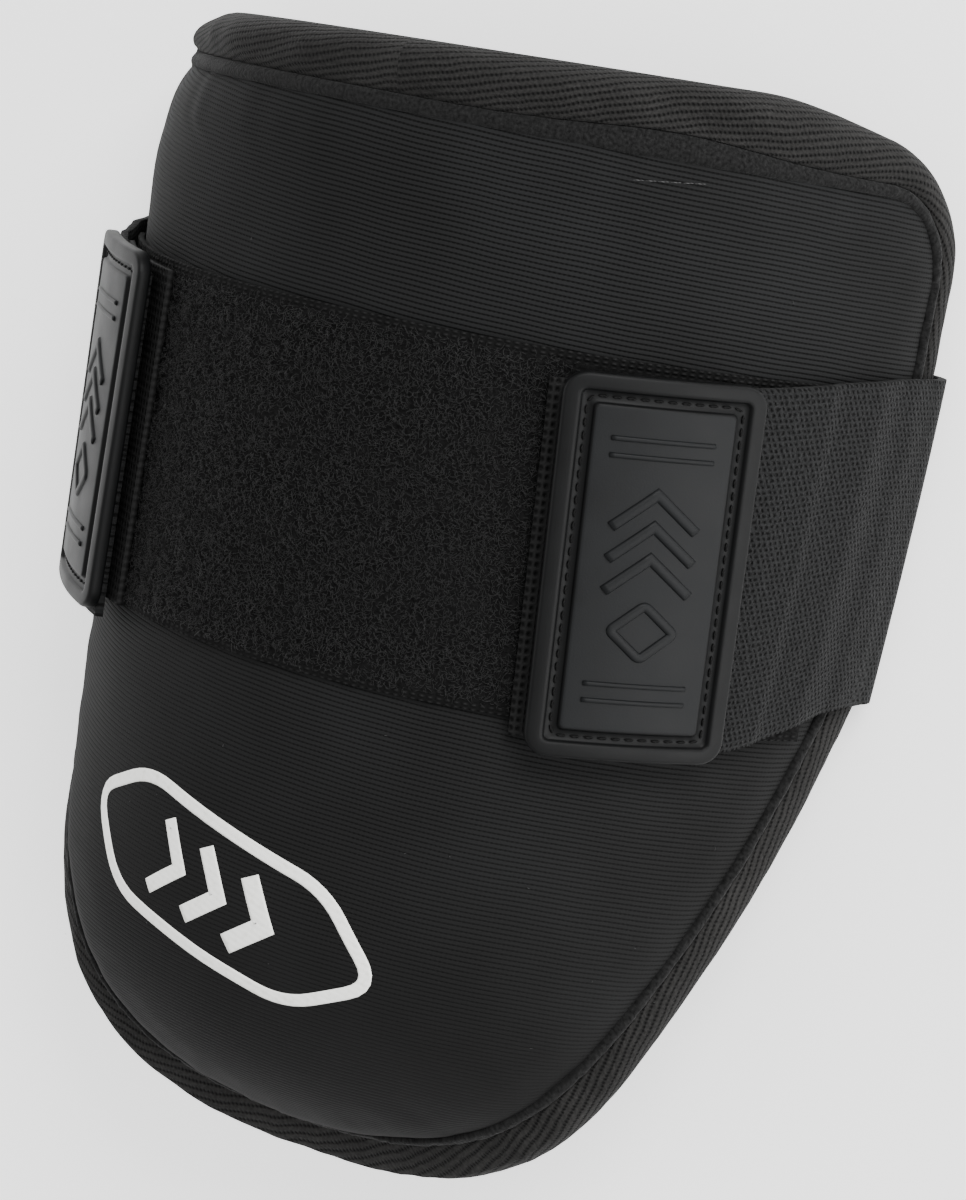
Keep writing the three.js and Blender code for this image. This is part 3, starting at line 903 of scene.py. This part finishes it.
def strap_side(patch, across, depth):
    """Points of one side, from under the patch to the middle of the back, stations x across."""
    side = patch["side"]
    start = patch["around"] - 0.4 * PATCH_WIDTH
    turn_from, back_from = STRAP_FRONT_STEPS, STRAP_FRONT_STEPS + STRAP_TURN_STEPS
    straight = np.linspace(start, TURN_AROUND, STRAP_FRONT_STEPS, endpoint=False)[:, None]
    low_share = np.clip(0.5 - across[None] / WEBBING, 0, 1)
    turn_at = TURN_AROUND - STRAP_LEAN * low_share**1.5
    around = start + (straight - start) * (turn_at - start) / (TURN_AROUND - start)
    drawn = across[None] - STRAP_DRAWN * past_patch(straight) * (1 - low_share)
    risen = STRAP_RISE * past_patch(straight) ** (1 + 1.5 * low_share)
    height = strap_height(patch, straight)
    front = place(side * around, STRAP_ALONG + risen + drawn, height + depth[:turn_from])
    along = STRAP_ALONG + STRAP_RISE + across - STRAP_DRAWN * (1 - low_share[0])
    corner = place(side * turn_at[0], along, RIM_OUT)[:, 0]
    first = math.pi / 2 - bend_at(TURN_AROUND, STRAP_ALONG + STRAP_RISE)
    angle = np.linspace(first, -math.pi / 2, STRAP_TURN_STEPS)[:, None]
    low = rim_lowest()
    radius = RIM_RADIUS + TURN_EASE + depth[turn_from:back_from]
    turn_x = corner[None] + side * radius * np.cos(angle)
    turn = stacked(turn_x, along[None], low + radius * np.sin(angle))
    share = np.linspace(1, 0, STRAP_BACK_STEPS + 1)[1:, None]
    level = low - RIM_RADIUS - TURN_EASE - depth[back_from:]
    back = stacked(corner[None] * share, along[None], level)
    return np.concatenate([front, turn, back])


def strap():
    across = np.linspace(0.5, -0.5, STRAP_ROWS) * WEBBING
    station = np.arange(STRAP_FRONT_STEPS + STRAP_TURN_STEPS + STRAP_BACK_STEPS)[:, None]
    outer, inner = {}, {}
    for name, patch in PATCHES.items():
        soft = 0.12 * noise(station / 6, across[None] / 9, 51 + patch["side"])
        soft = soft - 0.25 * (np.abs(across[None]) > 0.5 * WEBBING - 1.2)
        soft = np.where(station < STRAP_FRONT_STEPS, soft, 0)
        outer[name] = strap_side(patch, across, STRAP_THICKNESS + soft)
        inner[name] = strap_side(patch, across, np.zeros_like(soft))
    outer = np.concatenate([outer["right"], outer["left"][-2::-1]])
    inner = np.concatenate([inner["right"], inner["left"][-2::-1]])
    middle = outer[:, STRAP_ROWS // 2]
    run = running(np.linalg.norm(np.diff(middle, axis=0), axis=1))
    cloth = stacked(run[:, None], across[None])
    piece = sheet_object("elastic_strap", outer, inner, cloth)
    finish_piece(piece, "strap", "elastic", elastic())


# The hook tabs and the rubber patches


def on_patch(patch, across, up, out):
    turned = across * math.cos(patch["turn"]) - up * math.sin(patch["turn"])
    along = patch["along"] + across * math.sin(patch["turn"]) + up * math.cos(patch["turn"])
    return place(patch["side"] * patch["around"] + turned, along, out)


def hook_tab(name, patch, material):
    flat = (PATCH_WIDTH + 2 * TAB_BORDER, PATCH_HEIGHT - 2 * TAB_BORDER)
    x = np.linspace(0.5, -0.5, TAB_COLUMNS) * flat[0]
    y = np.linspace(-0.5, 0.5, TAB_ROWS) * flat[1]
    across, up = np.meshgrid(x, y, indexing="ij")
    mesh_holes = 0.14 * np.sin(across * 2 * math.pi / 1.2) * np.sin(up * 2 * math.pi / 1.3)
    top = on_patch(patch, across, up, TAB_OUT + TAB_THICKNESS - 0.14 + mesh_holes)
    low = on_patch(patch, across, up, TAB_OUT)
    piece = sheet_object(f"hook_tape_{name}", top, low, np.stack([across, up], -1))
    finish_piece(piece, f"hook_tab_{name}", "hook_tape", material)


def rounded_outline(width, height, radius):
    """A rounded rectangle, from its top middle down the right half and up the left one."""
    x, y = width / 2, height / 2
    turn = np.linspace(0, math.pi / 2, 24)
    top = np.stack([x - radius + radius * np.sin(turn), y - radius + radius * np.cos(turn)], -1)
    low = top[::-1] * [1, -1]
    half = np.concatenate([[[0, y]], top, low, [[0, -y]]])
    return mirrored(resample(half, PATCH_OUTLINE_STEPS, 6))


def patch_ring(inset):
    corner = max(PATCH_CORNER - inset, 0.9)
    return rounded_outline(PATCH_WIDTH - 2 * inset, PATCH_HEIGHT - 2 * inset, corner)


def patch_profile():
    """Rings of (share of the way out, inset, out): the field, the groove, the rim and the back."""
    top = PATCH_OUT + PATCH_THICKNESS
    field = top - 0.15
    low = top - PATCH_GROOVE_DEPTH
    rim, groove = PATCH_RIM, PATCH_GROOVE
    rings = [(k / PATCH_FIELD_RINGS, rim + groove + 1.0, field) for k in range(PATCH_FIELD_RINGS + 1)]
    rings += [
        (1, rim + groove + 0.6, field - 0.02),
        (1, rim + groove + 0.35, field - 0.12),
        (1, rim + groove + 0.22, low + 0.2),
        (1, rim + groove, low),
        (1, rim + 0.5 * groove, low - 0.1),
        (1, rim, low),
        (1, rim - 0.2, low + 0.25),
        (1, rim - 0.35, top - 0.2),
        (1, rim - 0.6, top - 0.03),
        (1, rim - 1.0, top),
        (1, 0.55 * rim, top + 0.01),
        (1, 0.7, top - 0.01),
        (1, 0.42, top - 0.08),
        (1, 0.2, top - 0.25),
        (1, 0.05, top - 0.55),
        (1, 0.0, top - 1.0),
        (1, 0.0, PATCH_OUT + 0.5),
        (1, 0.2, PATCH_OUT + 0.1),
        (1, 0.5, PATCH_OUT),
    ]
    rings += [(k / PATCH_BACK_RINGS, 0.5, PATCH_OUT) for k in range(PATCH_BACK_RINGS - 1, -1, -1)]
    return rings


def rubber_patch(name, patch, field_material, rim_and_groove_shade_material):
    rings = patch_profile()
    spine = (PATCH_HEIGHT - PATCH_WIDTH) / 2
    flat = []
    for share, inset, _ in rings:
        edge = patch_ring(inset)
        middle = np.stack([np.zeros(len(edge)), np.clip(edge[:, 1], -spine, spine)], -1)
        flat.append(middle + (edge - middle) * share)
    flat = np.array(flat)
    out = np.array([height for _, _, height in rings])[:, None]
    points = on_patch(patch, flat[..., 0], flat[..., 1], out)
    # From the groove outwards the darker rim rubber: darker on the rim and the back, painted shade in the
    # groove
    piece = grid_object(f"rubber_patch_{name}", points, closed_cloth(flat), wrap_columns=True,
                        second_from=PATCH_FIELD_RINGS + 1)
    finish_piece(piece, f"patch_{name}", "patch_rubber", field_material, rim_and_groove_shade_material)


def capsule_part(put, start, end, width, height, base):
    """A short thread between two flat points, lying on a surface given by put(x, y, out)."""
    start, end = np.asarray(start, float), np.asarray(end, float)
    steps, sides = 7, 8
    t = np.linspace(0, 1, steps)
    swell = np.sqrt(np.clip(1 - (2 * t - 1) ** 4, 0.02, 1))
    way = (end - start) / np.linalg.norm(end - start)
    cross = np.array([-way[1], way[0]])
    angle = np.linspace(0, 2 * math.pi, sides, endpoint=False)
    middle = start[None] + (end - start)[None] * t[:, None]
    offset = width / 2 * swell[:, None] * np.cos(angle)[None]
    flat = middle[:, None] + cross * offset[..., None]
    arch = np.sin(math.pi * t)[:, None] * 0.35 * height
    out = base + arch + height / 2 * swell[:, None] * np.sin(angle)[None]
    points = put(flat[..., 0], flat[..., 1], out).reshape(-1, 3)
    faces, _, _ = grid_faces(steps, sides, False, True)
    ends = np.array([[0, 1, 2, 3], [0, 3, 4, 7], [4, 5, 6, 7]])
    faces = np.concatenate([faces, ends, ends + (steps - 1) * sides])
    run = np.linalg.norm(end - start) * t
    spread = stacked(run[:, None], angle[None] * width / 2).reshape(-1, 2)
    return points, faces, spread[faces].reshape(-1, 2)


def run_points(points, pitch):
    """Even steps round a closed outline, as pairs of points with a gap between stitches."""
    loop = np.concatenate([points, points[:1]])
    reach = lengths(points)
    count = int(round(reach[-1] / pitch))
    starts = np.arange(count) * reach[-1] / count
    ends = (starts + 0.72 * pitch) % reach[-1]
    return at_reach(starts, reach, loop), at_reach(ends, reach, loop)


def patch_stitches(name, patch, material):
    middle = PATCH_RIM + 0.45 * PATCH_GROOVE
    points = rounded_outline(PATCH_WIDTH - 2 * middle, PATCH_HEIGHT - 2 * middle, 1.2)
    put = partial(on_patch, patch)
    base = PATCH_OUT + PATCH_THICKNESS - PATCH_GROOVE_DEPTH + 0.02
    starts, ends = run_points(points, 2.2)
    parts = [capsule_part(put, a, b, 0.42, 0.3, base) for a, b in zip(starts, ends)]
    piece = join_parts(f"patch_stitches_{name}", parts)
    finish_piece(piece, None, "patch_rubber", material)


def sideways(path, closed):
    """Steps of length one to the left of a path, made longer at its corners."""
    ahead = np.roll(path, -1, axis=0) if closed else np.concatenate([path[1:], path[-1:]])
    behind = np.roll(path, 1, axis=0) if closed else np.concatenate([path[:1], path[:-1]])
    way = ahead - behind
    way /= np.linalg.norm(way, axis=1, keepdims=True)
    cross = np.stack([-way[:, 1], way[:, 0]], -1)
    into = path - behind
    reach = np.linalg.norm(into, axis=1, keepdims=True)
    straight = np.where(reach > 0, into / np.where(reach > 0, reach, 1), way)
    return cross, 1 / np.clip((straight * way).sum(1), 0.6, 1)


def stroke_part(put, path, width, height, base, closed=False, flat_top=False):
    """A raised band along a flat path, as a closed part."""
    cross, miter = sideways(path, closed)
    share = np.linspace(-1, 1, STROKE_ROWS)
    if flat_top:
        rise = height * (1 - np.abs(share) ** 12)
    else:
        rise = height * np.sqrt(np.clip(1 - share**2, 0, 1)) ** 0.7
    flat = path[:, None] + cross[:, None] * (share[None, :, None] * width / 2) * miter[:, None, None]
    top = put(flat[..., 0], flat[..., 1], base + rise[None])
    low = put(flat[..., 0], flat[..., 1], np.full((1, STROKE_ROWS), base - 0.06))
    loops = np.concatenate([top, low[:, ::-1]], axis=1)
    faces, j, i = grid_faces(len(path), 2 * STROKE_ROWS, closed, True)
    spread = np.concatenate([flat, flat[:, ::-1], flat[:, :1]], axis=1)
    spread = np.concatenate([spread, spread[:1]], axis=0)
    corners = cell_corners(spread, j, i)
    if not closed:
        caps, cap_corners = end_caps(len(path), STROKE_ROWS, spread)
        faces = np.concatenate([faces, caps])
        corners = np.concatenate([corners, cap_corners])
    return loops.reshape(-1, 3), faces, corners


def dense(corners, closed=False):
    """Straight runs between corner points, cut into short steps."""
    corners = [np.asarray(c, float) for c in corners]
    if closed:
        corners.append(corners[0])
    points = []
    for a, b in zip(corners, corners[1:]):
        count = max(2, int(np.linalg.norm(b - a) / STROKE_STEP))
        points.extend(a + (b - a) * k / count for k in range(count))
    if not closed:
        points.append(corners[-1])
    return np.array(points)


def rounded_path(corners, radius):
    """The closed path through those corners with each one rounded off."""
    corners = np.asarray(corners, float)
    points = []
    for k, corner in enumerate(corners):
        before = corners[k - 1] - corner
        after = corners[(k + 1) % len(corners)] - corner
        a = corner + before / np.linalg.norm(before) * radius
        b = corner + after / np.linalg.norm(after) * radius
        for t in np.linspace(0, 1, 7):
            points.append((1 - t) ** 2 * a + 2 * t * (1 - t) * corner + t**2 * b)
    return dense(points, closed=True)


def patch_motif(name, patch, material):
    """Raised on the patch's field: two bars at each end, three chevrons and a diamond."""
    put = partial(on_patch, patch)
    base = PATCH_OUT + PATCH_THICKNESS - 0.17
    half = PATCH_WIDTH / 2 - PATCH_RIM - PATCH_GROOVE - 3.4
    parts = []
    for up in (22.5, 19.6, -19.6, -22.5):
        parts.append(stroke_part(put, dense([(-half, up), (half, up)]), 0.9, 0.4, base))
    for tip in (13.5, 8.0, 2.5):
        foot = tip - 6.0
        chevron = dense([(-half + 1.5, foot), (0, tip), (half - 1.5, foot)])
        parts.append(stroke_part(put, chevron, 1.9, 0.5, base))
    diamond = rounded_path([(0, -5.5), (5.2, -10.2), (0, -14.9), (-5.2, -10.2)], 0.9)
    parts.append(stroke_part(put, diamond, 1.7, 0.5, base, closed=True))
    piece = join_parts(f"patch_motif_{name}", parts)
    finish_piece(piece, None, "patch_rubber", material)


# The white print: a long six-sided outline with three chevrons in it


def on_cover(around, along, out):
    return place(around, along, out + cover_rise(around, along))


def on_print(x, y, out):
    """A place on the cover, from the print's own middle and turn."""
    cos, sin = math.cos(PRINT_TURN), math.sin(PRINT_TURN)
    return on_cover(PRINT_AROUND + x * cos - y * sin, PRINT_ALONG + x * sin + y * cos, out)


def white_print():
    base, ink = 0.05, 0.07
    corners = [(-21.5, 12), (21.5, 12), (36.5, 0), (21.5, -12), (-21.5, -12), (-36.5, 0)]
    outline = rounded_path(corners, 6.0)
    parts = [stroke_part(on_print, outline, 2.4, ink, base, closed=True, flat_top=True)]
    for tip, width in ((-7.0, 2.8), (3.0, 3.3), (13.5, 3.8)):
        path = dense([(tip - 6.0, 7.0), (tip, 0), (tip - 6.0, -7.0)])
        parts.append(stroke_part(on_print, path, width, ink, base, flat_top=True))
    piece = join_parts("front_print", parts)
    finish_piece(piece, None, "neoprene", print_ink())


def lint():
    """One pulled thread near the top edge and a few stray specks on the cover."""
    draw = np.random.RandomState(LINT_SEED)
    parts = []
    for k in range(6):
        start = (43.3 + 2.1 * k, 196.2 + 0.2 * k)
        end = (45.2 + 2.1 * k, 196.4 + 0.2 * k)
        parts.append(capsule_part(on_cover, start, end, 0.16, 0.14, 0.1))
    for _ in range(36):
        start = np.array([draw.uniform(-70, 90), draw.uniform(20, 190)])
        if abs(start[1] - LOOP_ALONG) < WEBBING / 2 + 1:
            continue
        heading = draw.uniform(0, math.pi)
        end = start + draw.uniform(0.25, 0.6) * np.array([math.cos(heading), math.sin(heading)])
        parts.append(capsule_part(on_cover, start, end, 0.13, 0.12, 0.1))
    piece = join_parts("lint", parts)
    finish_piece(piece, None, "neoprene", thread("lint_fibre", 0.05))


# The stage: name, place, size in metres and power in watts of each lamp, then the photo's view
LAMPS = [
    ("key", (0.75, 0.95, 0.95), 0.7, 25),
    ("side", (1.1, -0.1, 0.45), 0.6, 11),
    ("left", (-1.1, 0.1, 0.5), 0.7, 5),
]
VIEW_AROUND = math.radians(25.6)
VIEW_UP = math.radians(10.2)
VIEW_ROLL = math.radians(9.64)
VIEW_DISTANCE = 0.646
VIEW_TARGET = (9.3, 113.4, -48.3)
LENS_MM = 105.4
SENSOR_MM = 36


def stage():
    bpy.ops.mesh.primitive_plane_add(size=6)
    floor = bpy.context.object
    floor.name = "floor"
    paper = bpy.data.materials.new("floor_paper")
    paper.use_nodes = True
    set_inputs(paper.node_tree.nodes["Principled BSDF"], {
        "Base Color": (0.93, 0.93, 0.93, 1),
        "Roughness": 0.9,
        "Emission Color": (1, 1, 1, 1),
        "Emission Strength": 0.9,
    })
    floor.data.materials.append(paper)
    world = bpy.data.worlds.new("studio")
    world.use_nodes = True
    set_inputs(world.node_tree.nodes["Background"], {"Color": (1, 1, 1, 1), "Strength": 0.95})
    bpy.context.scene.world = world
    for name, where, size, power in LAMPS:
        data = bpy.data.lights.new(name, "AREA")
        data.size = size
        data.energy = power
        lamp = add_object(name, data)
        lamp.location = where
        lamp.rotation_euler = (-Vector(where)).to_track_quat("-Z", "Y").to_euler()


def camera():
    """The photo's view, as angles about the guard's own axes: round it, up it and rolled."""
    level = math.cos(VIEW_UP)
    towards = Vector((math.sin(VIEW_AROUND) * level, math.sin(VIEW_UP), math.cos(VIEW_AROUND) * level))
    target = Vector(to_frame(VIEW_TARGET))
    right = Vector((0, 1, 0)).cross(towards).normalized()
    up = towards.cross(right)
    right_rolled = right * math.cos(VIEW_ROLL) + up * math.sin(VIEW_ROLL)
    up_rolled = up * math.cos(VIEW_ROLL) - right * math.sin(VIEW_ROLL)
    data = bpy.data.cameras.new("photo_camera")
    data.sensor_width = SENSOR_MM
    data.lens = LENS_MM
    data.clip_end = 20
    eye = add_object("photo_camera", data)
    basis = Matrix((right_rolled, up_rolled, towards)).transposed()
    eye.matrix_world = Matrix.Translation(target + towards * VIEW_DISTANCE) @ basis.to_4x4()
    bpy.context.scene.camera = eye


stage()
camera()
cover()
edge_tape()
welt()
loop_panel()
fibre_material = fibre_finish()
for batch in range(FIBRE_BATCHES):
    fibres(f"pile_fibres_{batch + 1}", FIBRE_SEED + batch, FIBRES_IN_BATCH, fibre_material)
strap()
hook_material, stitch_material = hook_tape(), thread("patch_thread", 0.0035)
# The rim rubber is darker than the field; laid into the groove it is painted shade
field_rubber, rim_rubber_and_groove_shade = rubber("rubber_field", 0.0032, 0.0055), rubber("rubber_rim_and_groove_shade", 0.0008, 0.0018)
for patch_name, patch_place in PATCHES.items():
    hook_tab(patch_name, patch_place, hook_material)
    rubber_patch(patch_name, patch_place, field_rubber, rim_rubber_and_groove_shade)
    patch_stitches(patch_name, patch_place, stitch_material)
    patch_motif(patch_name, patch_place, field_rubber)
white_print()
lint()
